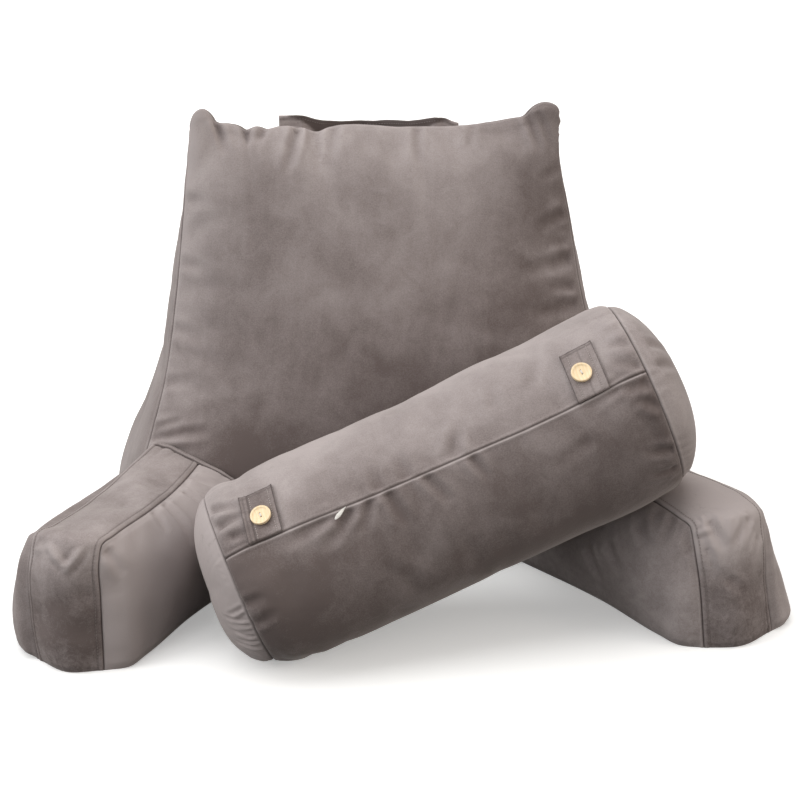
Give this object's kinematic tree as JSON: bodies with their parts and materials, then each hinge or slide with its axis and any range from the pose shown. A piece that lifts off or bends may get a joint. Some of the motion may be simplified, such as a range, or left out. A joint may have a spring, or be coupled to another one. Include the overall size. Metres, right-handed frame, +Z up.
{
  "type": "reading pillow with arms",
  "caption": "Plump velvet wedge backrest on splayed boxed arms, with a carry strap behind the top and a loose neck roll with buttoned tabs lying over the right arm.",
  "frame": {"origin": "middle of the bounding box, on the floor", "axes": "+Z up, the pillow faces -Y, +X to the right of someone looking at its front"},
  "size_m": [0.831, 0.5786, 0.4878],
  "materials": {
    "velvet": "short-pile taupe velvet",
    "pale_wood": "bare satin",
    "white_pull": "white enamel"
  },
  "bodies": {
    "root": {"backrest": "velvet", "arm_left": "velvet", "arm_right": "velvet", "handle_strap": "velvet", "neck_roll": "velvet", "tab_left": "velvet", "tab_right": "velvet", "button_left": "pale_wood", "button_right": "pale_wood", "zip_pull": "white_pull"}
  },
  "joints": []
}
